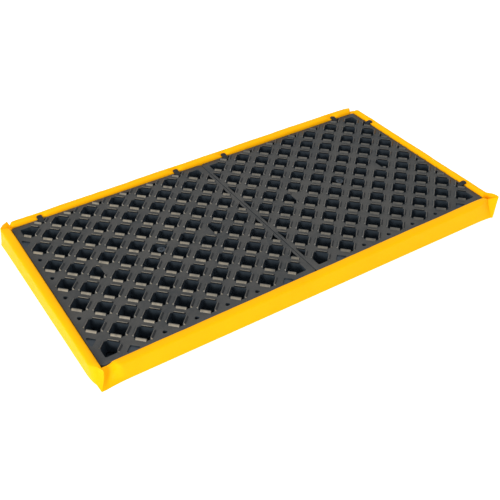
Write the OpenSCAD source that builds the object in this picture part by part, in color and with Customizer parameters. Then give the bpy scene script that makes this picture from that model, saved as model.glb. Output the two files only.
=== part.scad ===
// Flexible spill containment deck: two square grate tiles that lie end to end in a
// padded sump of coated fabric. Millimetres, +X along the length, +Z up, origin on
// the ground under the middle of the deck.

/* [Grate tiles] */
// Outside width and length of one square tile
tile_w = 609; // [604:1:614]
// Gap between the two tiles where they meet
tile_gap = 1.2; // [1:0.1:2]
// Radius of the tile's outside corners
tile_r = 10; // [6:1:14]
// Half of the straight pitch from cell to cell, along a tile's side
cell_step = 43.8; // [43.4:0.1:44.1]
// Clear side of one square drain cell
hole_w = 40; // [36:0.5:42]
// Cut across each corner of a cell
hole_cut = 3; // [2:0.5:5]
// Height of the flat web's top face above the ground
deck_z = 45.5; // [42:0.5:46]
// Thickness of the web
web_t = 4; // [3:0.5:5]
// Thickness of the walls that hang down around each cell
cell_wall_t = 2.5; // [2:0.5:3]
// Height of the tread ribs above the web
rib_h = 5; // [3:0.5:6]
// Width of a tread rib
rib_t = 4; // [3:0.5:5]
// Length of a tread rib
rib_l = 30; // [24:1:32]
// Thickness of the tile's edge skirt
skirt_t = 3; // [2:0.5:4]
// Gap between the cell walls and the sump floor, where liquid runs
drain_gap = 8; // [5:1:12]
// Diameter of the feet under the web's crossings
foot_d = 14; // [10:1:18]

/* [Hooks] */
// Width of a moulded hook
hook_w = 17; // [14:1:20]
// Length of a hook beyond its tile's edge
hook_l = 12; // [8:1:14]
// Thickness of a hook
hook_t = 4; // [3:0.5:4]

/* [Sump] */
// Thickness of the coated fabric
skin_t = 1.5; // [1.2:0.1:2]
// Thickness of a padded wall, across
pad_t = 25; // [22:1:30]
// Height of a padded wall
pad_h = 55; // [52:1:60]
// Gap between a tile and the padded wall
fit_gap = 0.8; // [0.6:0.1:1.5]
// How far the fabric fold at a corner stands past the walls
ear = 8; // [4:1:12]

/* [Hidden] */
$fn = 48;

// Cells lie on a chequered lattice: columns and rows 0 to 12, where column plus row is even
last = 12;
// Columns and rows of the hooks and sockets, and of the plain half cells between them
hook_cells = [1, 11];
plain_half_cells = [3, 5, 7, 9];

tile_x = (tile_w + tile_gap) / 2;
half_w = tile_w / 2;
in_x = tile_w + tile_gap / 2 + fit_gap;
in_y = half_w + fit_gap;
out_x = in_x + pad_t;
out_y = in_y + pad_t;

web_z = deck_z - web_t;
foot_z = skin_t;
cell_wall_z = foot_z + drain_gap;

// Half cells on the tile's edges
half_hole_inset = 19.5;
half_hole_d = 10;
joint_border = 8;
joint_hole_reach = 21;
corner_hole_reach = 22;
// The socket's recess in the web, and the slots in the skirt that hooks pass through
socket_l = 24;
socket_depth = 2;
slot_w = hook_w + 6;
hook_root = 14;
// An engaged hook runs this far below the neighbour's web
hook_drop = 1;
// Room around a free hook in the padded wall
dent_room = 2;

green_black = [0.20, 0.20, 0.20];
safety_yellow = [0.98, 0.76, 0.05];
foam_grey = [0.85, 0.85, 0.82];

function lattice(n) = (n - last / 2) * cell_step;
function is_cell(i, j) = (i + j) % 2 == 0;
function at_corner(i, j) = (i == 0 || i == last) && (j == 0 || j == last);
function outward(n) = n == 0 ? -1 : n == last ? 1 : 0;
function side_dir(k) = [k == 0 || k == 3 ? 1 : -1, k < 2 ? 1 : -1];
function faces_corner(i, j, k) = at_corner(i, j) && side_dir(k) == [outward(i), outward(j)];

function cut_square(w, c) = let (h = w / 2, s = w / 2 - c)
    [[h, -s], [h, s], [s, h], [-s, h], [-h, s], [-h, -s], [-s, -h], [s, -h]];

// ---- grate tiles ----

module rounded_plate(w, r) {
    square([w, w - 2 * r], center = true);
    square([w - 2 * r, w], center = true);
    for (x = [-1, 1], y = [-1, 1])
        translate([x, y] * (w / 2 - r)) circle(r);
}

module cell_shape(i, j, grow = 0) {
    rotate(45) polygon(cut_square(hole_w + 2 * grow, hole_cut + grow / 2));
    if (at_corner(i, j)) {
        reach = corner_hole_reach + grow;
        // the corner cells run out to a square corner along the tile's sides
        scale([outward(i), outward(j)])
            polygon([[0, 0], [reach, 0], [reach, reach - hole_cut], [reach - hole_cut, reach], [0, reach]]);
    }
}

module each_cell() {
    for (i = [0:last], j = [0:last])
        if (is_cell(i, j))
            translate([lattice(i), lattice(j)]) {
                $i = i;
                $j = j;
                children();
            }
}

// Places a child on the half cells of one edge. The child's +X runs out over the edge.
module on_edge(angle, cells) {
    for (n = cells)
        rotate(angle) translate([half_w, lattice(n)]) children();
}

module plain_half_holes() {
    for (angle = [180, 270])
        on_edge(angle, plain_half_cells) translate([-half_hole_inset, 0]) circle(d = half_hole_d);
    on_edge(90, plain_half_cells) translate([-half_hole_inset, 0]) circle(d = half_hole_d * 0.7);
}

module joint_half_holes(angle) {
    rise = joint_hole_reach - joint_border;
    on_edge(angle, concat(hook_cells, plain_half_cells))
        polygon([[-joint_hole_reach, 0], [-joint_border, rise * 0.8], [-joint_border, -rise * 0.8]]);
}

module web(joint_angle) {
    difference() {
        translate([0, 0, web_z]) linear_extrude(web_t) difference() {
            rounded_plate(tile_w, tile_r);
            each_cell() cell_shape($i, $j);
            plain_half_holes();
            joint_half_holes(joint_angle);
        }
        // arched sockets on the front edge and the outer left edge
        for (angle = joint_angle == 180 ? [270] : [180, 270])
            on_edge(angle, hook_cells) socket_recess();
    }
}

module socket_recess() {
    translate([0, 0, deck_z - socket_depth]) linear_extrude(socket_depth + 1) {
        translate([-socket_l + hook_w / 2, -hook_w / 2]) square([socket_l, hook_w]);
        translate([-socket_l + hook_w / 2, 0]) circle(d = hook_w);
    }
}

module cell_walls() {
    translate([0, 0, cell_wall_z]) linear_extrude(web_z - cell_wall_z)
        each_cell() difference() {
            cell_shape($i, $j, cell_wall_t);
            cell_shape($i, $j);
        }
}

module skirt(slot_angles) {
    difference() {
        translate([0, 0, cell_wall_z]) linear_extrude(web_z - cell_wall_z) difference() {
            rounded_plate(tile_w, tile_r);
            rounded_plate(tile_w - 2 * skirt_t, tile_r - skirt_t);
        }
        // slots open downwards, so a tile lifts off its neighbour's hooks
        for (angle = slot_angles)
            on_edge(angle, hook_cells) translate([-skirt_t - 1, -slot_w / 2, cell_wall_z - 1])
                cube([skirt_t + 2, slot_w, web_z - cell_wall_z + 1]);
    }
}

module feet() {
    for (i = [0:last], j = [0:last])
        if (!is_cell(i, j))
            translate([lattice(i), lattice(j), foot_z]) cylinder(d = foot_d, h = web_z - foot_z);
}

module tread_ribs() {
    translate([0, 0, deck_z]) linear_extrude(rib_h)
        each_cell()
            for (k = [0:3])
                if (!faces_corner($i, $j, k))
                    rotate(45 + 90 * k) translate([hole_w / 2, -rib_l / 2]) square([rib_t, rib_l]);
}

// A hook that lies free over the edge, level with the web
module free_hook() {
    translate([-1, -hook_w / 2, deck_z - hook_t]) cube([hook_l - hook_w / 2 + 1, hook_w, hook_t]);
    translate([hook_l - hook_w / 2, 0, deck_z - hook_t]) cylinder(d = hook_w, h = hook_t);
}

// A hook that reaches under the neighbour's web
module engaged_hook() {
    top = web_z - hook_drop;
    translate([-hook_root, -hook_w / 2, top - hook_t]) cube([hook_root + hook_l, hook_w, hook_t]);
    translate([-hook_root, -hook_w / 2, top - hook_t]) cube([hook_root - 1, hook_w, web_z - top + hook_t]);
}

module tile(joint_angle) {
    color(green_black) {
        web(joint_angle);
        cell_walls();
        skirt([180, 270]);
        feet();
        tread_ribs();
        on_edge(90, hook_cells) free_hook();
        if (joint_angle == 0) on_edge(0, hook_cells) engaged_hook();
        else on_edge(0, hook_cells) free_hook();
    }
}

module grate_left() {
    translate([-tile_x, 0, 0]) tile(0);
}

module grate_right() {
    translate([tile_x, 0, 0]) tile(180);
}

// ---- padded sump ----

// Section of a padded wall, with its round crest: x across the wall, y up
module pad_section(inset) {
    r = pad_t / 2 - inset;
    translate([inset, 0]) square([2 * r, pad_h - pad_t / 2]);
    translate([pad_t / 2, pad_h - pad_t / 2]) circle(r);
}

// A wall's plain bar along +Y from its own middle, its inner face at x = 0
module pad_bar(length, inset, base) {
    intersection() {
        translate([0, length / 2, 0]) rotate([90, 0, 0]) linear_extrude(length) pad_section(inset);
        translate([0, -length / 2, base]) cube([pad_t, length, pad_h]);
    }
}

// The dents that a free hook presses into a wall, open upwards
module hook_dents(places, grow) {
    w = hook_w + 2 * dent_room + 2 * grow;
    low = deck_z - hook_t - dent_room - grow;
    for (y = places)
        translate([-1, y - w / 2, low]) cube([hook_l + dent_room + grow + 1 - fit_gap, w, pad_h]);
}

module pad_core(length, dents) {
    color(foam_grey) difference() {
        pad_bar(length - 2 * skin_t, skin_t, skin_t);
        hook_dents(dents, skin_t);
    }
}

module pad_cover(length, dents) {
    color(safety_yellow) difference() {
        pad_bar(length, 0, skin_t);
        difference() {
            pad_bar(length - 2 * skin_t, skin_t, 0);
            hook_dents(dents, skin_t);
        }
        hook_dents(dents, 0);
    }
}

no_dents = [];
right_dents = [for (n = hook_cells) lattice(n)];
back_dents = [for (x = [-tile_x, tile_x], n = hook_cells) x + lattice(n)];

module place_front() {
    translate([0, -in_y, 0]) rotate(-90) children();
}

module place_back() {
    translate([0, in_y, 0]) rotate(90) children();
}

module place_left() {
    translate([-in_x, 0, 0]) rotate(180) children();
}

module place_right() {
    translate([in_x, 0, 0]) children();
}

module wall_cover_front() {
    place_front() pad_cover(2 * in_x, no_dents);
}

module wall_cover_back() {
    place_back() pad_cover(2 * in_x, -back_dents);
}

module wall_cover_left() {
    place_left() pad_cover(2 * in_y, no_dents);
}

module wall_cover_right() {
    place_right() pad_cover(2 * in_y, right_dents);
}

module foam_core_front() {
    place_front() pad_core(2 * in_x, no_dents);
}

module foam_core_back() {
    place_back() pad_core(2 * in_x, -back_dents);
}

module foam_core_left() {
    place_left() pad_core(2 * in_y, no_dents);
}

module foam_core_right() {
    place_right() pad_core(2 * in_y, right_dents);
}

// Plan of the fabric pleat that closes a corner, measured from the walls' inner corner
module fold_plan(inset) {
    tip = pad_t + ear - 2 * inset;
    polygon([[inset, inset], [inset, pad_t - inset], [tip, tip], [pad_t - inset, inset]]);
}

module corner_fold(side_x, side_y) {
    color(safety_yellow) translate([side_x * in_x, side_y * in_y, skin_t]) scale([side_x, side_y, 1])
        difference() {
            linear_extrude(pad_h - skin_t) fold_plan(0);
            translate([0, 0, -1]) linear_extrude(pad_h + 1) fold_plan(skin_t);
        }
}

module corner_fold_front_left() {
    corner_fold(-1, -1);
}

module corner_fold_front_right() {
    corner_fold(1, -1);
}

module corner_fold_back_left() {
    corner_fold(-1, 1);
}

module corner_fold_back_right() {
    corner_fold(1, 1);
}

// Plan of the whole floor panel, with a point under each corner fold
module floor_plan() {
    tip = [out_x + ear, out_y + ear];
    polygon([for (c = [[1, 1], [-1, 1], [-1, -1], [1, -1]])
        let (side = [in_x * c.x, out_y * c.y], end = [out_x * c.x, in_y * c.y])
        each [c.x * c.y > 0 ? end : side, [tip.x * c.x, tip.y * c.y], c.x * c.y > 0 ? side : end]]);
}

module sump_floor() {
    color(safety_yellow) linear_extrude(skin_t) floor_plan();
}

sump_floor();
wall_cover_front();
wall_cover_back();
wall_cover_left();
wall_cover_right();
foam_core_front();
foam_core_back();
foam_core_left();
foam_core_right();
corner_fold_front_left();
corner_fold_front_right();
corner_fold_back_left();
corner_fold_back_right();
grate_left();
grate_right();
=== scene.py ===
"""Looks of the flexible spill containment deck: two moulded grate tiles in a padded fabric sump."""
import math
from collections import namedtuple
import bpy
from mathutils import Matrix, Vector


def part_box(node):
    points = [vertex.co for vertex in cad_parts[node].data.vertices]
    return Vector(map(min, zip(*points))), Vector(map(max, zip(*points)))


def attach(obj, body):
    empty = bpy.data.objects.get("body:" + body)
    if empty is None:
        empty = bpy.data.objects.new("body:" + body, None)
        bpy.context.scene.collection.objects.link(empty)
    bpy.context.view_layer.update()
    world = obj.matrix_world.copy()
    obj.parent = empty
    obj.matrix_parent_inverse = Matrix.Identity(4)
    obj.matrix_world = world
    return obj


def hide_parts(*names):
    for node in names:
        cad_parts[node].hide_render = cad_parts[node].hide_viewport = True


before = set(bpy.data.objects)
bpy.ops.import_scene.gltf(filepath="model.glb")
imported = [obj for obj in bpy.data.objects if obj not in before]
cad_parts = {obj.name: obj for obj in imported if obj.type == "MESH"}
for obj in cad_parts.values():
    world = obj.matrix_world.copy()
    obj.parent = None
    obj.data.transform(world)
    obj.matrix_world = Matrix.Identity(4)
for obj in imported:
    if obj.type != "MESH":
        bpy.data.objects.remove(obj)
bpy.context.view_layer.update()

from types import SimpleNamespace

import bmesh
import bpy
import numpy as np
from mathutils import Matrix, Vector, noise

MM = 0.001

# ---- sizes, in millimetres, from the frame where it holds them ----

TILE_LOW, TILE_HIGH = (np.array(c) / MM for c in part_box("grate_left"))
RIGHT_LOW = np.array(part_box("grate_right")[0]) / MM
WALL_HIGH = np.array(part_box("wall_cover_left")[1]) / MM

# A tile's square body: how far its hooks reach past it, half its width, its corner and edge radius
HOOK_REACH = 12.0
HALF = (TILE_HIGH[1] - TILE_LOW[1] - HOOK_REACH) / 2
TILE_CORNER_R = 10.0
EDGE_R = 0.9
TILE_CENTRES = {
    "grate_left": (TILE_LOW[0] + HALF, TILE_LOW[1] + HALF),
    "grate_right": (RIGHT_LOW[0] + HALF, RIGHT_LOW[1] + HALF),
}

# Heights above the ground: the ribs' tops, the web's face, the feet, and the cell walls' lower ends
RIB_H = 5.0
RIB_TOP = TILE_HIGH[2]
DECK = RIB_TOP - RIB_H
WEB_T = 4.0
FOOT_Z = TILE_LOW[2]
CELL_WALL_Z = FOOT_Z + 8

# Half the inner length and width of the padded walls
IN_X = -WALL_HIGH[0]
IN_Y = WALL_HIGH[1]

# Cells and feet take turns on a lattice over the tile, with places 0 to LAST each way
CELL = 43.8
LAST = 12


def lattice(n):
    return (n - LAST / 2) * CELL


class Shell:
    """Points and faces of one mesh, in millimetres, built from loops of points.

    paint is the material of the faces that are made next.
    """

    def __init__(self):
        self.points = []
        self.faces = []
        self.paints = []
        self.paint = 0

    def loop(self, points):
        first = len(self.points)
        self.points.extend(tuple(map(float, p)) for p in points)
        return list(range(first, len(self.points)))

    def strip(self, a, b, closed=True):
        n = len(a)
        for k in range(n if closed else n - 1):
            j = (k + 1) % n
            self.face(a[k], a[j], b[j], b[k])

    def face(self, *corners):
        self.faces.append(corners)
        self.paints.append(self.paint)

    def loops(self, rows, closed=True):
        made = [self.loop(row) for row in rows]
        for a, b in zip(made, made[1:]):
            self.strip(a, b, closed)
        return made

    def solid(self, rows):
        """Closed loops from one flat end to the other."""
        made = self.loops(rows)
        self.face(*made[0])
        self.face(*made[-1])

    def build(self, name, smooth_angle=40, weld=0.02):
        mesh = bpy.data.meshes.new(name)
        bm = bmesh.new()
        verts = [bm.verts.new(Vector(p) * MM) for p in self.points]
        for face, paint in zip(self.faces, self.paints):
            bm.faces.new([verts[i] for i in face]).material_index = paint
        bmesh.ops.remove_doubles(bm, verts=bm.verts, dist=weld * MM)
        bmesh.ops.dissolve_degenerate(bm, edges=bm.edges, dist=weld * MM / 2)
        bmesh.ops.recalc_face_normals(bm, faces=bm.faces)
        sharp = math.radians(smooth_angle)
        for face in bm.faces:
            face.smooth = True
        for edge in bm.edges:
            edge.smooth = len(edge.link_faces) == 2 and edge.calc_face_angle(0) < sharp
        bm.to_mesh(mesh)
        bm.free()
        obj = bpy.data.objects.new(name, mesh)
        bpy.context.scene.collection.objects.link(obj)
        return obj


# ---- grate tiles ----

# Sides of a tile, and the way that each faces
RIGHT, BACK, LEFT, FRONT = range(4)
WAYS = ((1, 0), (0, 1), (-1, 0), (0, -1))
# Faces that meet at less than this angle, in degrees, shade as one
TILE_SMOOTH = 24
# The place of a tile's clean material, after its dusty one; it is darkened as painted shade and goes on the
# hooks
CLEAN_SHADED = 1

# Places along one side of an outline: on its straight part, then round the corner that ends it
SIDE_MARKS = (0.0, 0.08, 0.3, 0.5, 0.7, 0.92, 1.0)
ARC_MARKS = (0.25, 0.5, 0.75)
# Places along one side of a border, to match, and how near its corner the corner's three places begin
SPAN_MARKS = (0.22, 0.28, 0.39, 0.5, 0.61, 0.72, 0.78)
SPAN_CORNER = 0.08
# Points nearer to the tile's edge than this lie on it
TOUCH = 1e-4

# A full cell's hole: its clear width, corner radius, and how far its corners lie from its middle
HOLE_W = 40.0
HOLE_R = 4.0
HOLE_REACH = HOLE_W / math.sqrt(2)
FULL_HOLE = ((HOLE_REACH, 0), (0, HOLE_REACH), (-HOLE_REACH, 0), (0, -HOLE_REACH))
FULL_BORDER = ((CELL, 0), (0, CELL), (-CELL, 0), (0, -CELL))
# How far the hole of a cell in a tile's corner runs towards the tile's two sides
CORNER_HOLE = 22.0
# Full cells with one corner closed, and the way along X that it points. Its plate begins at FILLED_FROM from
# the cell's middle, and runs on past the hole by FILLED_LAP.
FILLED_CELLS = {(2, 6): 1, (10, 6): -1}
FILLED_FROM = 12.0
FILLED_LAP = 0.5

# Holes of the half cells along a tile's sides. depth and base are how far in from the side a hole's apex and
# its base lie, and ribs tells which of its sides have one. A pocket has the height of its floor. Some holes
# are open only from open_from in to the apex, and a plate closes the rest.
OVERHANG = lattice(LAST) + CELL - HALF
HalfHole = namedtuple("HalfHole", "depth base radius ribs floor open_from", defaults=(None, None))
CUT_HOLE = (HOLE_REACH - OVERHANG, 2.2, 2.6, (1, 0, 1))
JOINT_HOLE = HalfHole(*CUT_HOLE, open_from=8.0)
HOOK_HOLE = HalfHole(*CUT_HOLE, open_from=5.0)
PLAIN_HOLE = HalfHole(*CUT_HOLE, open_from=12.5)
SOCKET_POCKET = HalfHole(26, 5, 3.5, (0, 0, 0), floor=DECK - 9)
SMALL_HOLE = HalfHole(27.0, 15.0, 4.2, (0, 0, 0))
# Half cells with a hook or a hook's socket, and the others
HOOK_ROWS = (1, 11)
PLAIN_ROWS = (3, 5, 7, 9)

# Rim of a hole, from the flat web inwards: distance out from the hole, height above the web without the rib,
# share of the rib's height
RIM = (
    (6.6, 0.0, 0.0), (6.1, 0.0, 0.05), (2.6, 0.0, 0.94),
    (2.1, 0.0, 1.0), (0.6, 0.0, 1.0), (0.0, -0.6, 1.0),
)
# Wall that hangs from a hole's rim, down inside and up outside: distance out from the hole, height
CELL_WALL_T = 2.5
DRAFT = 1.3
CELL_WALL = (
    (-DRAFT * 0.5, (DECK + CELL_WALL_Z) / 2), (-DRAFT, CELL_WALL_Z + 0.5), (-DRAFT + 0.5, CELL_WALL_Z),
    (CELL_WALL_T - DRAFT - 0.5, CELL_WALL_Z), (CELL_WALL_T - DRAFT, CELL_WALL_Z + 0.5),
    (CELL_WALL_T, DECK - WEB_T - 1.5), (CELL_WALL_T + 1.5, DECK - WEB_T),
)
# Bottom of a pocket: distance out from the hole, height above its floor
POCKET = ((-1.0, 0.6), (-1.6, 0.0))
# Skirt round a tile, down outside and up inside: distance in from the tile's edge, height
SKIRT_T = 3
SKIRT = (
    (EDGE_R, DECK), (EDGE_R * 0.3, DECK - EDGE_R * 0.3), (0, DECK - EDGE_R), (0.3, CELL_WALL_Z + 0.5),
    (0.8, CELL_WALL_Z), (2.6, CELL_WALL_Z), (SKIRT_T, CELL_WALL_Z + 0.5), (SKIRT_T, DECK - WEB_T),
)
# Lower and upper face of a plate that closes part of a hole, and how far it runs on into the rim
PLATE_Z = (DECK - 3.2, DECK - 0.25)
PLATE_LAP = 0.4

# A foot, and the moulding gate's boss in the middle cell: radius and height
FOOT = ((7.4, DECK - WEB_T + 1), (6.4, FOOT_Z + 0.8), (5.7, FOOT_Z))
BOSS_PLACE = (8.0, 0.0)
BOSS = (
    (11.2, CELL_WALL_Z + 4), (11.8, DECK - 3.5), (11.2, DECK - 2.9), (5.2, DECK - 2.9),
    (4.2, DECK - 4.2), (2.6, DECK - 4.2), (2.2, DECK - 1.6), (1.2, DECK - 1.2),
)

# A hook's half width, that of its tip, its thickness, edge radius, and how far its middle is crowned
HOOK_HALF = 8.0
HOOK_TIP_HALF = 1.6
HOOK_T = 3.6
HOOK_R = 0.8
HOOK_CROWN = 0.35
# Top line of a hook: distance out from the tile's edge, height above the web
FREE_HOOK = (
    (-19, -1.0), (-14, 2.2), (-8, 4.6), (-2, 6.0), (3, 6.8), (7, 7.0), (9.5, 6.8), (11.2, 6.2), (12, 5.2),
)
ENGAGED_HOOK = ((-14, -5), (-4, -5), (4, -5), (10, -5), (12, -5))


def outline(corners, radius):
    """Points, outward normals, rib shares and side numbers round a convex outline, from side to side."""
    c = np.array(corners, float)
    n = len(c)
    ahead = np.roll(c, -1, axis=0) - c
    along = ahead / np.linalg.norm(ahead, axis=1)[:, None]
    normal = np.stack([along[:, 1], -along[:, 0]], axis=1)
    centres = []
    for k in range(n):
        before, after = normal[k - 1], normal[k]
        centres.append(c[k] - radius * (before + after) / (1 + before @ after))
    points, normals, shares, sides = [], [], [], []
    for k in range(n):
        start = centres[k] + radius * normal[k]
        end = centres[(k + 1) % n] + radius * normal[k]
        for m in SIDE_MARKS:
            points.append(start + (end - start) * m)
            normals.append(normal[k])
            shares.append(1.0 if 0.0 < m < 1.0 else 0.0)
            sides.append(k)
        a = math.atan2(normal[k][1], normal[k][0])
        b = math.atan2(normal[(k + 1) % n][1], normal[(k + 1) % n][0])
        turn = (b - a) % (2 * math.pi)
        for m in ARC_MARKS:
            d = np.array((math.cos(a + turn * m), math.sin(a + turn * m)))
            points.append(centres[(k + 1) % n] + radius * d)
            normals.append(d)
            shares.append(0.0)
            sides.append(k)
    return np.array(points), np.array(normals), np.array(shares), np.array(sides)


def span(corners, centre):
    """Points on the border between a cell and its neighbours, matched one to one with outline()."""
    c = np.array(corners, float)
    n = len(c)
    points = []
    for k in range(n):
        a, b, d = c[k], c[(k + 1) % n], c[(k + 2) % n]
        points.extend(a + (b - a) * m for m in SPAN_MARKS)
        points.extend(turn_at_edge(a, b, d, centre))
    return clamp_to_tile(centre + np.array(points), EDGE_R)


def turn_at_edge(a, b, d, centre):
    """Three points round the corner b. Where b lies past the tile's edge, they stop on the edge."""
    before, after = b + (a - b) * SPAN_CORNER, b + (d - b) * SPAN_CORNER
    past = np.abs(centre + b) - (HALF - EDGE_R)
    if (past > 0).sum() != 1:
        return before, b, after
    axis = int(np.argmax(past))
    stops = []
    for other, plain in ((a, before), (d, after)):
        way = (other - b) / np.linalg.norm(other - b)
        slanted = abs(way[axis]) > 0.3
        stops.append((b + way * past[axis] / abs(way[axis]), True) if slanted else (plain, False))
    (before, cut_before), (after, cut_after) = stops
    if cut_before == cut_after:
        return before, b, after
    return before, before if cut_before else after, after


def clamp_to_tile(points, inset):
    """Moves points that lie outside the tile's outline, drawn in by inset, onto it."""
    edge = HALF - inset
    p = np.clip(points, -edge, edge)
    middle = HALF - TILE_CORNER_R
    excess = np.abs(p) - middle
    in_corner = (excess > 0).all(axis=1)
    r = np.linalg.norm(excess, axis=1)
    limit = TILE_CORNER_R - inset
    over = in_corner & (r > limit)
    p[over] = np.sign(p[over]) * (middle + excess[over] * (limit / r[over])[:, None])
    return p


def on_edge(points):
    """Which points lie on the tile's outline, drawn in by EDGE_R."""
    reach = np.abs(points) - (HALF - TILE_CORNER_R)
    on_arc = (reach > 0).all(axis=1) & (np.linalg.norm(reach, axis=1) > TILE_CORNER_R - EDGE_R - TOUCH)
    return on_arc | (np.abs(points).max(axis=1) > HALF - EDGE_R - TOUCH)


def rim_at(points, inset):
    """Points on the tile's edge, moved square to the edge until they lie inset inside it."""
    p = points.copy()
    middle = HALF - TILE_CORNER_R
    excess = np.abs(p) - middle
    for n, (x, y) in enumerate(excess):
        if x > 0 and y > 0:
            out = excess[n] / np.linalg.norm(excess[n]) * (TILE_CORNER_R - inset)
            p[n] = np.sign(p[n]) * (middle + out)
        else:
            axis = int(y > x)
            p[n, axis] = np.sign(p[n, axis]) * (HALF - inset)
    return p


def with_height(points, z):
    return [(x, y, h) for (x, y), h in zip(points, np.broadcast_to(z, len(points)))]


def hook_outline(half):
    """Outline across a hook, as places across it and heights from its top line."""
    r, low = HOOK_R, -HOOK_T
    return [(-half, low + r), (-half, -r), (-half + r, 0), (-half * 0.4, HOOK_CROWN),
            (half * 0.4, HOOK_CROWN), (half - r, 0), (half, -r),
            (half, low + r), (half - r, low), (-half + r, low)]


class Tile:
    """One grate tile, built round the origin. joint is its side beside the other tile."""

    def __init__(self, name, joint):
        self.name = name
        self.joint = joint
        self.shell = Shell()
        self.rim = []

    def cell(self, centre, hole, border, radius, ribs, floor=None, filled=0):
        """One cell of the grate: its rim, its hanging wall, and its share of the web. A floor closes it."""
        points, normals, shares, sides = outline(hole, radius)
        rib = shares * np.array([ribs[k] for k in sides])
        if filled:
            rib[points[:, 0] * filled > FILLED_FROM - 2] = 0
            self.fill_corner(centre, filled)
        points = points + centre
        edge = span(border, centre)
        outer = on_edge(edge)
        self.rim.extend(edge[outer])
        under = edge.copy()
        under[outer] = rim_at(edge[outer], SKIRT_T)
        underside = with_height(under, DECK - WEB_T)

        def ring(offset, z, inset=EDGE_R + 0.6):
            limit = HALF - inset
            return with_height(np.clip(points + normals * offset, -limit, limit), z)

        rows = [with_height(edge, DECK)]
        for n, (offset, z, share) in enumerate(RIM, 1):
            rows.append(ring(offset, DECK + z + rib * share * RIB_H, EDGE_R + 0.1 * n))
        if floor is None:
            self.shell.loops(rows + [ring(offset, z) for offset, z in CELL_WALL] + [underside])
        else:
            pocket = self.shell.loops(rows + [ring(offset, floor + z) for offset, z in POCKET])
            self.shell.face(*pocket[-1])
            below = self.shell.loops([underside, ring(CELL_WALL_T + 1.5, DECK - WEB_T)])
            self.shell.face(*below[-1])

    def plate(self, plan):
        """A flat plate just under the web's face, that closes part of a hole."""
        self.shell.solid([with_height(plan, z) for z in PLATE_Z])

    def fill_corner(self, centre, side):
        """Closes the corner of a hole that points along X."""
        rise = HOLE_REACH - FILLED_FROM + FILLED_LAP
        start, tip = FILLED_FROM * side, (HOLE_REACH + FILLED_LAP) * side
        self.plate(centre + np.array([(start, -rise), (start, rise), (tip, 0)]))

    def full_cells(self):
        for i in range(LAST + 1):
            for j in range(i % 2, LAST + 1, 2):
                centre = np.array((lattice(i), lattice(j)))
                corner = ((i == LAST) - (i == 0), (j == LAST) - (j == 0))
                if all(corner):
                    self.corner_cell(centre, corner)
                else:
                    filled = FILLED_CELLS.get((i, j), 0)
                    self.cell(centre, FULL_HOLE, FULL_BORDER, HOLE_R, (1, 1, 1, 1), filled=filled)

    def corner_cell(self, centre, corner):
        """A cell that runs out to a square corner along the tile's sides."""
        edge = HALF - lattice(LAST)
        short = HOLE_REACH - CORNER_HOLE
        first = {(1, 1): 0, (-1, 1): 1, (-1, -1): 2, (1, -1): 3}[corner]
        second, *others = ((first + n) % 4 for n in (1, 2, 3))
        a, b = (np.array(FULL_BORDER[n], float) / CELL for n in (first, second))
        hole = [a * CORNER_HOLE - b * short, CORNER_HOLE * (a + b), b * CORNER_HOLE - a * short]
        border = [a * CELL, edge * (a + b), b * CELL]
        hole += [FULL_HOLE[n] for n in others]
        border += [FULL_BORDER[n] for n in others]
        self.cell(centre, hole, border, HOLE_R, (0, 0, 1, 1, 1))

    def half_hole(self, side, row):
        hooked = row in HOOK_ROWS
        if side == self.joint:
            return JOINT_HOLE
        if side in (RIGHT, BACK):
            return HOOK_HOLE if hooked else PLAIN_HOLE
        return SOCKET_POCKET if hooked else SMALL_HOLE

    def half_cell(self, side, row, half):
        c, s = WAYS[side]
        turn = np.array(((c, -s), (s, c)))
        centre = turn @ np.array((HALF, lattice(row)))
        rise = half.depth - half.base
        hole = [(-half.depth, 0), (-half.base, -rise), (-half.base, rise)]
        border = [(OVERHANG - CELL, 0), (OVERHANG, -CELL), (OVERHANG, CELL)]
        hole, border = ([turn @ np.array(p) for p in plan] for plan in (hole, border))
        self.cell(centre, hole, border, half.radius, half.ribs, half.floor)
        if half.open_from:
            near, far = -half.base + PLATE_LAP, -half.open_from
            narrow = half.depth - half.open_from + PLATE_LAP
            plan = [(near, -rise), (near, rise), (far, narrow), (far, -narrow)]
            self.plate([centre + turn @ np.array(p) for p in plan])

    def half_cells(self):
        for side in (RIGHT, BACK, LEFT, FRONT):
            for row in HOOK_ROWS + PLAIN_ROWS:
                self.half_cell(side, row, self.half_hole(side, row))

    def skirt(self):
        """The tile's outer wall, round the points that the cells have on the tile's edge."""
        rim = np.array(self.rim)
        turn = np.arctan2(rim[:, 1], rim[:, 0])
        order = np.argsort(turn)
        rim, turn = rim[order], turn[order]
        rim = rim[np.concatenate(([True], np.diff(turn) > 1e-5))]
        self.shell.loops([with_height(rim_at(rim, inset), z) for inset, z in SKIRT])

    def turned(self, centre, profile, count):
        """A solid turned about an upright axis, with count points round it."""
        angles = np.linspace(0, 2 * math.pi, count, endpoint=False)
        circle = np.stack([np.cos(angles), np.sin(angles)], axis=1)
        self.shell.solid([with_height(centre + circle * r, z) for r, z in profile])

    def feet(self):
        for i in range(LAST + 1):
            for j in range((i + 1) % 2, LAST + 1, 2):
                self.turned(np.array((lattice(i), lattice(j))), FOOT, 16)

    def hook(self, side, row, path):
        """A moulded tongue over an edge, with a round tip."""
        c, s = WAYS[side]
        tip = path[-1][0] + 0.6
        rows = []
        for out, z in path:
            left = max(tip - out, 0.0)
            half = HOOK_HALF * math.sqrt(max(0.0, 1 - max(0.0, 1 - left / HOOK_HALF) ** 2))
            ring = hook_outline(max(half, HOOK_TIP_HALF))
            x = HALF + out
            rows.append([(c * x - s * (lattice(row) + y), s * x + c * (lattice(row) + y), DECK + z + dz)
                         for y, dz in ring])
        self.shell.solid(rows)

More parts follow.
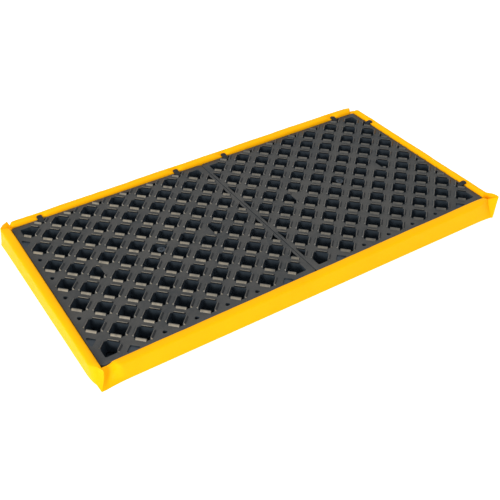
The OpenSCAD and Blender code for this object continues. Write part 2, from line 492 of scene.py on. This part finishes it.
    def hooks(self):
        """Two hooks on the back and two on the right, which lie under the other tile where the tiles join."""
        # The hooks take the darkened copy of the plastic: painted shade
        self.shell.paint = CLEAN_SHADED
        for row in HOOK_ROWS:
            self.hook(BACK, LAST - row, FREE_HOOK)
            self.hook(RIGHT, row, ENGAGED_HOOK if self.joint == RIGHT else FREE_HOOK)

    def build(self):
        self.full_cells()
        self.half_cells()
        self.skirt()
        self.feet()
        self.turned(np.array(BOSS_PLACE), BOSS, 28)
        self.hooks()
        tile = self.shell.build(self.name + "_moulding", smooth_angle=TILE_SMOOTH)
        x, y = TILE_CENTRES[self.name]
        tile.data.transform(Matrix.Translation((x * MM, y * MM, 0)))
        return tile


# ---- padded sump ----

# Distance between a wall's sections along its middle, and where they lie beyond its first and before its last
STATION_STEP = 7.0
END_STATIONS = (1, 2.5, 4.5, 7, 10, 14, 19, 25, 32, 40)
# How far the foam lies inside the skin, and beyond the place where a wall has its full height
FOAM_INSET = 4.0
FOAM_END_GAP = 3
# The floor sheet: how far it runs on under the walls, its thickness, its gap to the ground, and its waves
FLOOR_LAP = 10.0
SHEET_T = 0.9
SHEET_GAP = 0.25
SHEET_WAVE = 0.18
# Bed of a free hook in a wall's shoulder: its height, its play beside and beyond the hook, and its slopes
HOOK_BED = DECK + 1
BED_SIDE_PLAY, BED_SIDE_SLOPE = 1, 9
BED_END_PLAY, BED_END_SLOPE = 1.5, 3
# Waves of the fabric over its foam: height, waves per millimetre, shift of the pattern
WRINKLES = ((1.1, 0.011, (3.1, 0, 0)), (0.45, 0.045, (0, 7.7, 0)))
# About half the thickness of a wall
WALL_MIDDLE = 12

# A corner's section: heights up its inner face, then shares of the way out from top to foot with shares of
# the top's height, then shares of the way from its start to its foot with heights along the ground
INNER_HEIGHTS = (1.6, 8, 18, 28)
OUTER_FACE = ((0.12, 0.82), (0.42, 0.52), (0.72, 0.24), (0.93, 0.06), (1.0, 0.015))
GROUND_FACE = ((0.96, 0.15), (0.7, 0.1), (0.4, 0.1), (0.1, 0.2))

# Where a wall's own sections begin beyond a corner, and how far from there it takes them to reach their full
# height, and their full width at the top and at the foot
End = namedtuple("End", "first rise spread_top spread_foot")


def pad_section(thick, foot, high):
    """Key points round a padded wall: up its inner face, over its crest, down its outer face, and back."""
    return np.array([
        (0.6, 1.6), (0.0, 8), (-0.1, 20), (0.0, 32), (0.3, high - 13),
        (1.3, high - 6.5), (4.4, high - 1.9), (8.5, high - 0.3), (thick * 0.5, high),
        (thick - 8.0, high - 0.5), (thick - 3.4, high - 2.0), (thick - 0.7, high - 5.2),
        (thick + 0.1 * (foot - thick), high - 13), (thick + 0.4 * (foot - thick), high * 0.5),
        (thick + 0.75 * (foot - thick), high * 0.24), (foot - 0.2, 5), (foot, 1.2),
        (foot - 1.0, 0.15), (foot - 7, 0.1), (thick * 0.5, 0.1), (3, 0.2)])


class Corner:
    """Surplus fabric pinched at a corner, as sections fanned round it, in order round the sump.

    Places are measured outwards from the walls' inner corner. A section runs up from start to the height
    notch, over valley to top, and down to foot. hollow above 1 draws its outer face in.
    """

    def __init__(self, side, ends, fan):
        self.side = np.array(side, float)
        self.inner = self.side * (IN_X, IN_Y)
        self.ends = ends
        self.fan = [self.section(*row) for row in fan]

    def section(self, start, notch, valley, top, foot, hollow=1.0):
        """Key points of one section, which are as many as pad_section gives."""
        start, valley, top, foot = (np.array(place, float) for place in (start, valley, top, foot))
        rows = [(*start, z) for z in (*INNER_HEIGHTS, notch - 4)]
        rows += [(*(start * 0.7 + valley[:2] * 0.3), notch)]
        rows += [(*(start * 0.3 + valley[:2] * 0.7), (notch + valley[2]) / 2), tuple(valley)]
        rows += [tuple(valley * 0.5 + top * 0.5), tuple(valley * 0.12 + top * 0.88 + (0, 0, -0.6))]
        rows += [tuple(top), tuple(top + (0, 0, -1.2))]
        for share, level in OUTER_FACE:
            rows += [(*(top[:2] + (foot - top[:2]) * share ** hollow), top[2] * level)]
        rows += [(*(start + (foot - start) * share), z) for share, z in GROUND_FACE]
        points = np.array(rows)
        points[:, :2] = self.inner + self.side * points[:, :2]
        return points

    def sections(self):
        """The fan, with two more sections between each two of it."""
        rows = []
        for a, b in zip(self.fan, self.fan[1:]):
            rows += [a, a * 2 / 3 + b / 3, a / 3 + b * 2 / 3]
        return rows + [self.fan[-1]]


def smooth(t):
    t = np.clip(t, 0, 1)
    return t * t * (3 - 2 * t)


def ease(t):
    return 1 - (1 - np.clip(t, 0, 1)) ** 2.2


class Wall:
    """One padded wall from its start corner to its end corner, with its outside towards outward.

    thick and high are its thickness and height, and foot its width on the ground, each at its start and end.
    """

    def __init__(self, name, start, end, along, outward, thick, foot, high, hooks=()):
        self.name, self.start, self.end = name, start, end
        self.along, self.outward = np.array(along, float), np.array(outward, float)
        self.length = abs((end.inner - start.inner) @ self.along)
        self.thick, self.foot, self.high, self.hooks = thick, foot, high, hooks

    def sizes(self, s):
        f = s / self.length
        return [a + (b - a) * f for a, b in (self.thick, self.foot, self.high)]

    def pad(self, s):
        """Key points of the wall's full section at s along it, pressed down under each free hook."""
        section = pad_section(*self.sizes(s))
        out, z = section[:, 0], section[:, 1].copy()
        place = self.start.inner + self.along * s
        for hook in self.hooks:
            gap = abs(place @ np.abs(self.along) - hook)
            beside = smooth(1 - (gap - HOOK_HALF - BED_SIDE_PLAY) / BED_SIDE_SLOPE)
            press = beside * (1 - smooth((out - HOOK_REACH - BED_END_PLAY) / BED_END_SLOPE))
            z -= press * np.maximum(z - HOOK_BED, 0)
        return np.column_stack([place + np.outer(out, self.outward), z])

    def station(self, s):
        """Key points at s along the wall, where they come out of the corners' folds near its ends."""
        points = self.pad(s)
        level = points[:, 2] / points[:, 2].max()
        near = ((self.start, s, self.start.fan[-1]), (self.end, self.length - s, self.end.fan[0]))
        for corner, distance, at_corner in near:
            end = corner.ends[self.name]
            distance -= end.first
            if distance < max(end.rise, end.spread_top, end.spread_foot):
                spread = end.spread_foot + (end.spread_top - end.spread_foot) * level
                flat = smooth(distance / spread)[:, None]
                up = ease(distance / end.rise)
                points[:, :2] = at_corner[:, :2] * (1 - flat) + points[:, :2] * flat
                points[:, 2] = at_corner[:, 2] * (1 - up) + points[:, 2] * up
        return points

    def places(self):
        near = np.array(END_STATIONS)
        first, last = (corner.ends[self.name].first for corner in (self.start, self.end))
        count = int((self.length - first - last - 2 * near[-1]) / STATION_STEP)
        middle = np.linspace(first + near[-1], self.length - last - near[-1], count)
        return [*(near[:-1] + first), *middle, *(self.length - last - near[-2::-1])]

    def stations(self):
        return [self.station(s) for s in self.places()]

    def foam_stations(self):
        """The wall's sections drawn in by FOAM_INSET, over the length where it has its full height."""
        ends = (corner.ends[self.name] for corner in (self.start, self.end))
        first, last = (end.first + end.rise + FOAM_END_GAP for end in ends)
        rows = []
        for s in self.places():
            if first <= s <= self.length - last:
                points = self.station(s)
                middle = (points.min(axis=0) + points.max(axis=0)) / 2
                half = (points.max(axis=0) - points.min(axis=0)) / 2
                scale = np.where(half > 2 * FOAM_INSET, 1 - FOAM_INSET / np.maximum(half, 1e-6), 1)
                rows.append(middle + (points - middle) * scale)
        return rows


def refine(rows, times):
    """Closed Catmull-Rom curve through the key points of each row."""
    p = np.array(rows)
    a, b, c, d = (np.roll(p, k, axis=1) for k in (1, 0, -1, -2))
    parts = []
    for t in np.arange(times) / times:
        parts.append(0.5 * (2 * b + (c - a) * t + (2 * a - 5 * b + 4 * c - d) * t ** 2
                            + (3 * b - a - 3 * c + d) * t ** 3))
    return np.stack(parts, axis=2).reshape(p.shape[0], -1, 3)


def wrinkle(points):
    """Soft unevenness of the fabric over its foam, that leaves the foot on the ground."""
    moved = points.copy()
    for n, (x, y, z) in enumerate(points):
        v = Vector((x, y, z))
        amount = sum(height * noise.noise(v * scale + Vector(shift)) for height, scale, shift in WRINKLES)
        hold = smooth((z - 2) / 14)
        reach_x, reach_y = IN_X + WALL_MIDDLE, IN_Y + WALL_MIDDLE
        side = np.array((x, y)) - (np.clip(x, -reach_x, reach_x), np.clip(y, -reach_y, reach_y))
        size = np.linalg.norm(side)
        if size > 1e-3:
            moved[n, :2] += side / size * amount * hold
        moved[n, 2] += amount * 0.8 * hold * smooth((z - 40) / 10)
    return moved


def sump_walls():
    """The four walls in order round the sump, with the folded corners between them."""
    front_left = Corner((-1, -1), {"left": End(1.5, 9, 10, 26), "front": End(26, 8, 8, 18)}, [
        ((0.4, -1), 47, (2, 0, 47.5), (7, 3, 48.5), (19, 5)),
        ((0.4, 0.4), 45, (1, 7, 46), (0.8, 14.5, 47), (18, 31), 2.0),
        ((-13, 0.4), 43, (-13, 3, 43), (-13, 5.0, 43.5), (6, 31), 2.8),
        ((-24, 0.4), 45, (-24, 3, 45), (-24, 6, 46), (-2, 30), 2.4)])
    front_right = Corner((1, -1), {"front": End(1, 42, 45, 45), "right": End(7, 2, 2.5, 10)}, [
        ((-1, 0.4), 45, (0, 5, 42), (0.5, 11, 47), (-1, 43)),
        ((0.4, 0.4), 41, (12, 13, 32), (28.8, 29.3, 56), (1.3, 45)),
        ((0.4, -1), 40, (14, 5, 29), (31.6, 19.7, 55), (15, 35)),
        ((0.4, -4), 40, (13, -2, 30), (30, 2, 54), (23, 12))])
    back_right = Corner((1, 1), {"right": End(0.5, 3, 4, 8), "back": End(8, 3, 12, 14)}, [
        ((0.4, 0), 43, (5, 2, 43), (18, 6, 44), (25, 10)),
        ((0.4, 0.4), 43, (4, 4, 43), (14, 14, 43.5), (22, 24)),
        ((-10, 0.4), 42, (-8, 5, 42), (0.5, 16, 43), (5, 27)),
        ((-14, 0.4), 44, (-11, 5, 50), (-3, 18, 59), (2, 27))])
    back_left = Corner((-1, 1), {"back": End(6, 3, 4, 10), "left": End(12, 8, 45, 45)}, [
        ((-5, 0.4), 43, (-4, 8, 43), (-4, 14, 44), (0, 27)),
        ((0.4, 0.4), 42, (1, 9, 43), (0.5, 21, 58), (15, 30)),
        ((0.4, -3), 42, (5, 3, 43), (15, 13, 57), (28, 18)),
        ((0.4, -8), 43, (8, -4, 44), (27, 2, 55), (35, 3))])
    hook_y = [TILE_CENTRES["grate_right"][1] + lattice(n) for n in HOOK_ROWS]
    hook_x = [c[0] + lattice(n) for c in TILE_CENTRES.values() for n in HOOK_ROWS]
    return [
        Wall("front", front_left, front_right, (1, 0), (0, -1), thick=(25, 31), foot=(27, 39), high=(55, 56)),
        Wall("right", front_right, back_right, (0, 1), (1, 0), thick=(22, 22), foot=(25, 26), high=(55, 55),
             hooks=hook_y),
        Wall("back", back_right, back_left, (-1, 0), (0, 1), thick=(29, 25), foot=(31, 27), high=(58, 55),
             hooks=hook_x),
        Wall("left", back_left, front_left, (0, -1), (-1, 0), thick=(29, 24), foot=(34, 25), high=(55, 55)),
    ]


def soften(rows, ridges, passes=2):
    """Evens out neighbouring sections round the sump, all but the ridges."""
    p = np.array(rows)
    for _ in range(passes):
        even = (np.roll(p, 1, axis=0) + 2 * p + np.roll(p, -1, axis=0)) / 4
        even[ridges] = p[ridges]
        p = even
    return p


def build_skin(walls):
    """The covers of all walls and corners, as one skin once round the sump."""
    shell = Shell()
    rows, ridges = [], []
    for wall in walls:
        rows += wall.stations()
        ridges += [len(rows) + 3 * n for n in range(1, len(wall.end.fan) - 1)]
        rows += wall.end.sections()
    fine = refine(soften(rows, ridges), 3)
    made = shell.loops([wrinkle(row) for row in fine])
    shell.strip(made[-1], made[0])
    return shell.build("padded_walls", smooth_angle=50)


def build_foam(wall):
    shell = Shell()
    shell.solid(refine(wall.foam_stations(), 2))
    return shell.build("foam_" + wall.name, smooth_angle=50)


def grid_border(grid):
    """The points round a grid of them, once round."""
    return grid[0] + [row[-1] for row in grid[1:]] + grid[-1][-2::-1] + [row[0] for row in grid[-2:0:-1]]


def build_floor_sheet():
    """The floor panel of coated fabric, laid flat under the walls and the tiles."""
    shell = Shell()
    half_x, half_y = IN_X + FLOOR_LAP, IN_Y + FLOOR_LAP
    xs, ys = np.linspace(-half_x, half_x, 90), np.linspace(-half_y, half_y, 46)

    def face(z, wave):
        rows = [[(x, y, z + wave * noise.noise(Vector((x, y, 0)) * 0.02)) for x in xs] for y in ys]
        return shell.loops(rows, closed=False)

    top, bottom = face(SHEET_GAP + SHEET_T, SHEET_WAVE), face(SHEET_GAP, 0)
    shell.strip(grid_border(top), grid_border(bottom))
    return shell.build("floor_sheet", smooth_angle=60)


# ---- materials ----

# Colours of the tiles' plastic: clean, dusty, worn on the crests, speckled, painted highlight, and painted
# shade
CLEAN_PLASTIC = ((0.018, 0.027, 0.038), (0.026, 0.037, 0.050))
THIN_DUST = (0.017, 0.020, 0.022, 1)
THICK_DUST = (0.040, 0.040, 0.038, 1)
PALE_DUST = (0.056, 0.053, 0.049, 1)
WORN_CREST = (0.17, 0.155, 0.13, 1)
SPECKS = (0.11, 0.105, 0.10, 1)
# Painted highlight on the rib slopes that face the key light
PAINTED_HIGHLIGHT = (0.25, 0.222, 0.17, 1)
# Painted shade on the rib slopes turned from the key light and on the ribs' steep faces
PAINTED_SHADE = (0.011, 0.013, 0.016, 1)
# Colours of the coated fabric
FABRIC_YELLOW = ((0.90, 0.405, 0.002, 1), (0.92, 0.43, 0.002, 1))
FABRIC_CREASE = (0.88, 0.375, 0.002, 1)
# Bluish near black for the floor sheet: painted shade under the tiles
FLOOR_SHADE_BLACK = (0.034, 0.046, 0.058, 1)
# Width of one thread and its gap in the fabric's scrim, in metres
THREAD = 0.0022


class Nodes:
    """A short way to write a material's nodes."""

    def __init__(self, name):
        self.material = bpy.data.materials.new(name)
        self.material.use_nodes = True
        self.tree = self.material.node_tree
        self.shader = self.tree.nodes["Principled BSDF"]

    def feed(self, socket, value):
        if isinstance(value, bpy.types.NodeSocket):
            self.tree.links.new(value, socket)
        else:
            socket.default_value = value

    def add(self, kind, inputs=(), **settings):
        node = self.tree.nodes.new("ShaderNode" + kind)
        for key, value in settings.items():
            setattr(node, key, value)
        for key, value in dict(inputs).items():
            self.feed(node.inputs[key], value)
        return node

    def place(self):
        return self.add("TexCoord").outputs["Object"]

    def facing(self):
        return self.add("TexCoord").outputs["Normal"]

    def split(self, vector):
        return tuple(self.add("SeparateXYZ", {"Vector": vector}).outputs)

    def noise(self, vector, scale, detail=4.0, rough=0.55):
        inputs = {"Vector": vector, "Scale": scale, "Detail": detail, "Roughness": rough}
        return self.add("TexNoise", inputs).outputs["Fac"]

    def calc(self, operation, *values):
        return self.add("Math", dict(enumerate(values)), operation=operation).outputs[0]

    def ramp(self, value, low, high, bottom=0.0, top=1.0):
        inputs = {"Value": value, "From Min": low, "From Max": high, "To Min": bottom, "To Max": top}
        return self.add("MapRange", inputs).outputs["Result"]

    def mix(self, share, a, b):
        return self.add("Mix", {0: share, 6: a, 7: b}, data_type="RGBA").outputs[2]

    def bump(self, height, strength, distance, normal=None):
        inputs = {"Height": height, "Strength": strength, "Distance": distance}
        if normal is not None:
            inputs["Normal"] = normal
        return self.add("Bump", inputs).outputs["Normal"]

    def finish(self, **sockets):
        for key, value in sockets.items():
            self.feed(self.shader.inputs[key.replace("_", " ")], value)
        return self.material


def plastic_surface(n):
    """What the plastic's colour follows: the way a face turns, its place, and noise at three scales."""
    at = n.place()
    turn_x, turn_y, up = n.split(n.facing())
    along, _, high = n.split(at)
    cloud = n.noise(at, 8.0, 5.0, 0.6)
    patch = n.noise(at, 60.0, 6.0, 0.65)
    speck = n.noise(at, 420.0, 3.0, 0.5)
    return SimpleNamespace(turn_x=turn_x, turn_y=turn_y, up=up, along=along, high=high,
                           cloud=cloud, patch=patch, speck=speck)


def dust_and_recess_shade(n, s, colour, dust):
    """Dust settled on what faces up. Below the web's face it is left out, so pocket floors and other recesses
    keep the dark clean colour as painted shade.
    """
    dusty = n.mix(n.ramp(s.cloud, 0.35, 0.65), THIN_DUST, THICK_DUST)
    dusty = n.mix(n.ramp(s.patch, 0.42, 0.72, 0.0, 0.5), dusty, PALE_DUST)
    # Painted shade: no dust deeper than the web's face, so recesses stay dark
    shallow = n.ramp(s.high, (DECK - 2.5) * MM, (DECK - 1.2) * MM)
    settled = n.calc("MULTIPLY", n.ramp(s.up, 0.35, 0.85, 0.0, dust), shallow)
    return n.mix(settled, colour, dusty)


def worn(n, s, colour, dust):
    """Paler crests where feet and drums rub the ribs, and specks all over."""
    crest = n.calc("MULTIPLY", n.ramp(s.high, (DECK + 2.5) * MM, RIB_TOP * MM), n.ramp(s.up, 0.3, 0.8))
    rubbed = n.calc("MULTIPLY", crest, n.ramp(s.patch, 0.3, 0.7, 0.25, 1.0))
    colour = n.mix(n.calc("MULTIPLY", rubbed, 0.38 * dust), colour, WORN_CREST)
    return n.mix(n.ramp(s.speck, 0.55, 0.8, 0.0, 0.25), colour, SPECKS)


def paint_shade(n, s, rib, colour):
    """Painted shade: darker rib slopes that face the front and the right, away from the key light, and darker
    steep rib faces all round.
    """
    across = n.calc("SUBTRACT", s.turn_x, s.turn_y)
    # Painted shade mask: rib slopes facing front and right, and all steep rib faces
    shade_mask = n.calc("MAXIMUM", n.ramp(across, 0.6, 0.8), n.ramp(s.up, 0.44, 0.5, 1.0, 0.0))
    return n.mix(n.calc("MULTIPLY", rib, shade_mask), colour, PAINTED_SHADE)


def paint_highlight(n, s, rib, colour, dust):
    """Painted highlight: paler rib slopes that face the front and the left, towards the key light, broken up
    by noise and fading along the deck from left to right.
    """
    aside = n.calc("ADD", s.turn_x, s.turn_y)
    turned = n.calc("MULTIPLY", n.ramp(s.up, 0.48, 0.56), n.ramp(aside, -1.0, -0.7, 1.0, 0.0))
    highlight = n.calc("MULTIPLY", n.calc("MULTIPLY", rib, turned), n.ramp(s.patch, 0.3, 0.6, 0.45 * dust, dust))
    # The painted highlight fades from left to right along the deck
    highlight_fade = n.ramp(s.along, -0.40, 0.35, 1.0, 0.15)
    return n.mix(n.calc("MULTIPLY", highlight, highlight_fade), colour, PAINTED_HIGHLIGHT)


def grate_plastic(name, dust, painted_shade_tone):
    """Recycled polyethylene: bluish black where it is clean, brown-grey with dust on top, with painted
    highlight on the rib slopes that face the key light and painted shade on the rib slopes turned away from
    it and on the ribs' steep faces.
    """
    n = Nodes(name)
    s = plastic_surface(n)
    above_web = n.ramp(s.high, (DECK + 0.2) * MM, (DECK + 0.8) * MM)
    rib = n.calc("MULTIPLY", above_web, n.ramp(s.up, 0.75, 0.95, 1.0, 0.0))
    shades = [tuple(c * painted_shade_tone for c in shade) + (1,) for shade in CLEAN_PLASTIC]
    colour = dust_and_recess_shade(n, s, n.mix(s.patch, *shades), dust)
    colour = worn(n, s, colour, dust)
    colour = paint_shade(n, s, rib, colour)
    colour = paint_highlight(n, s, rib, colour, dust)
    rough = n.calc("SUBTRACT", n.ramp(s.patch, 0.3, 0.7, 0.42, 0.54), n.ramp(rib, 0, 1, 0.0, 0.14))
    grain = n.bump(s.speck, 0.2, 0.0002)
    wave = n.bump(s.patch, 0.15, 0.0008, grain)
    return n.finish(Base_Color=colour, Roughness=rough, Normal=wave, Specular_IOR_Level=0.12 + 0.2 * dust)


def coated_fabric(name, black):
    """PVC-coated polyester, golden yellow or black: satin, with a faint woven scrim under the coating. The
    black, used on the floor sheet under the tiles, is painted shade.
    """
    n = Nodes(name)
    at = n.place()
    cloud = n.noise(at, 5.0, 3.0)
    crease = n.noise(at, 26.0, 5.0, 0.6)
    colour = n.mix(n.ramp(cloud, 0.3, 0.7), *FABRIC_YELLOW)
    colour = n.mix(n.ramp(crease, 0.55, 0.8, 0.0, 0.3), colour, FABRIC_CREASE)
    colour = n.mix(black, colour, FLOOR_SHADE_BLACK)
    threads = [n.calc("SINE", n.calc("MULTIPLY", axis, 2 * math.pi / THREAD)) for axis in n.split(at)]
    weave = n.calc("ADD", n.calc("ADD", threads[0], threads[1]), threads[2])
    scrim = n.bump(weave, 0.10, 0.0002)
    soft = n.bump(crease, 0.18, 0.004, scrim)
    rough = n.ramp(crease, 0.3, 0.7, 0.42, 0.52)
    return n.finish(Base_Color=colour, Roughness=rough, Normal=soft, Specular_IOR_Level=0.03)


def closed_cell_foam():
    n = Nodes("closed_cell_foam")
    at = n.place()
    cells = n.add("TexVoronoi", {"Vector": at, "Scale": 900.0}).outputs["Distance"]
    cloud = n.noise(at, 30.0)
    colour = n.mix(cloud, (0.72, 0.72, 0.68, 1), (0.82, 0.82, 0.78, 1))
    rough = n.ramp(cloud, 0, 1, 0.75, 0.9)
    return n.finish(Base_Color=colour, Roughness=rough, Normal=n.bump(cells, 0.3, 0.0006))


def studio_floor():
    n = Nodes("studio_floor")
    cloud = n.noise(n.place(), 1.2, 2.0)
    colour = n.mix(cloud, (0.90, 0.90, 0.90, 1), (0.93, 0.93, 0.93, 1))
    return n.finish(Base_Color=colour, Roughness=0.7, Emission_Color=(1, 1, 1, 1), Emission_Strength=0.45)


# ---- build ----

plastic = grate_plastic("recycled_polyethylene", dust=1.0, painted_shade_tone=1.0)
# Copy of the plastic with little dust for the hooks, its clean colour cut to a quarter as painted shade
clean_shaded_plastic = grate_plastic("clean_shaded_polyethylene", dust=0.1, painted_shade_tone=0.25)
fabric = coated_fabric("yellow_fabric", black=0.0)
# The floor sheet, seen only through the holes, is coloured near black as painted shade
floor_fabric = coated_fabric("floor_fabric", black=1.0)
foam = closed_cell_foam()

for tile_name, joint in (("grate_left", RIGHT), ("grate_right", LEFT)):
    tile = Tile(tile_name, joint).build()
    tile.data.materials.append(plastic)
    tile.data.materials.append(clean_shaded_plastic)
    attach(tile, tile_name)
    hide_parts(tile_name)

walls = sump_walls()
skin = build_skin(walls)
skin.data.materials.append(fabric)
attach(skin, "sump")
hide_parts(*["wall_cover_" + w.name for w in walls],
            *["corner_fold_" + c for c in ("front_left", "front_right", "back_left", "back_right")])

sheet = build_floor_sheet()
sheet.data.materials.append(floor_fabric)
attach(sheet, "sump")
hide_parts("sump_floor")

for wall in walls:
    bar = build_foam(wall)
    bar.data.materials.append(foam)
    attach(bar, "sump")
    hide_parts("foam_core_" + wall.name)


# ---- stage ----

GROUND_REACH = 9000
WORLD_STRENGTH = 0.78
SENSOR_WIDTH = 36
LENS = 54.29
CAMERA_PLACE = (-0.9549, -1.4605, 1.3274)
CAMERA_TARGET = (-0.0995, -0.1358, 0.0455)


def aim(obj, target):
    obj.rotation_euler = (Vector(target) - obj.location).to_track_quat("-Z", "Y").to_euler()


def area_light(name, place, target, size, power, colour):
    data = bpy.data.lights.new(name, "AREA")
    data.shape = "DISK"
    data.size = size
    data.energy = power
    data.color = colour
    light = bpy.data.objects.new(name, data)
    bpy.context.scene.collection.objects.link(light)
    light.location = place
    aim(light, target)


ground = Shell()
ground_edges = [[(-GROUND_REACH, y, 0), (GROUND_REACH, y, 0)] for y in (-GROUND_REACH, GROUND_REACH)]
ground.loops(ground_edges, closed=False)
ground = ground.build("studio_ground")
ground.data.materials.append(studio_floor())

area_light("key", (-5.3, -2.85, 1.95), target=(-0.1, 0, 0), size=2.0, power=275, colour=(1.0, 0.95, 0.87))
area_light("top", (0.4, 0.6, 3.0), target=(0, 0, 0), size=2.5, power=34, colour=(1.0, 1.0, 1.0))

world = bpy.data.worlds.new("studio")
world.use_nodes = True
world.node_tree.nodes["Background"].inputs["Color"].default_value = (1, 1, 1, 1)
world.node_tree.nodes["Background"].inputs["Strength"].default_value = WORLD_STRENGTH
bpy.context.scene.world = world
bpy.context.scene.view_settings.view_transform = "Standard"

camera_data = bpy.data.cameras.new("camera")
camera_data.sensor_width = SENSOR_WIDTH
camera_data.lens = LENS
camera = bpy.data.objects.new("camera", camera_data)
bpy.context.scene.collection.objects.link(camera)
camera.location = CAMERA_PLACE
aim(camera, CAMERA_TARGET)
bpy.context.scene.camera = camera


def plain(box):
    return [[float(v) for v in corner] for corner in box]
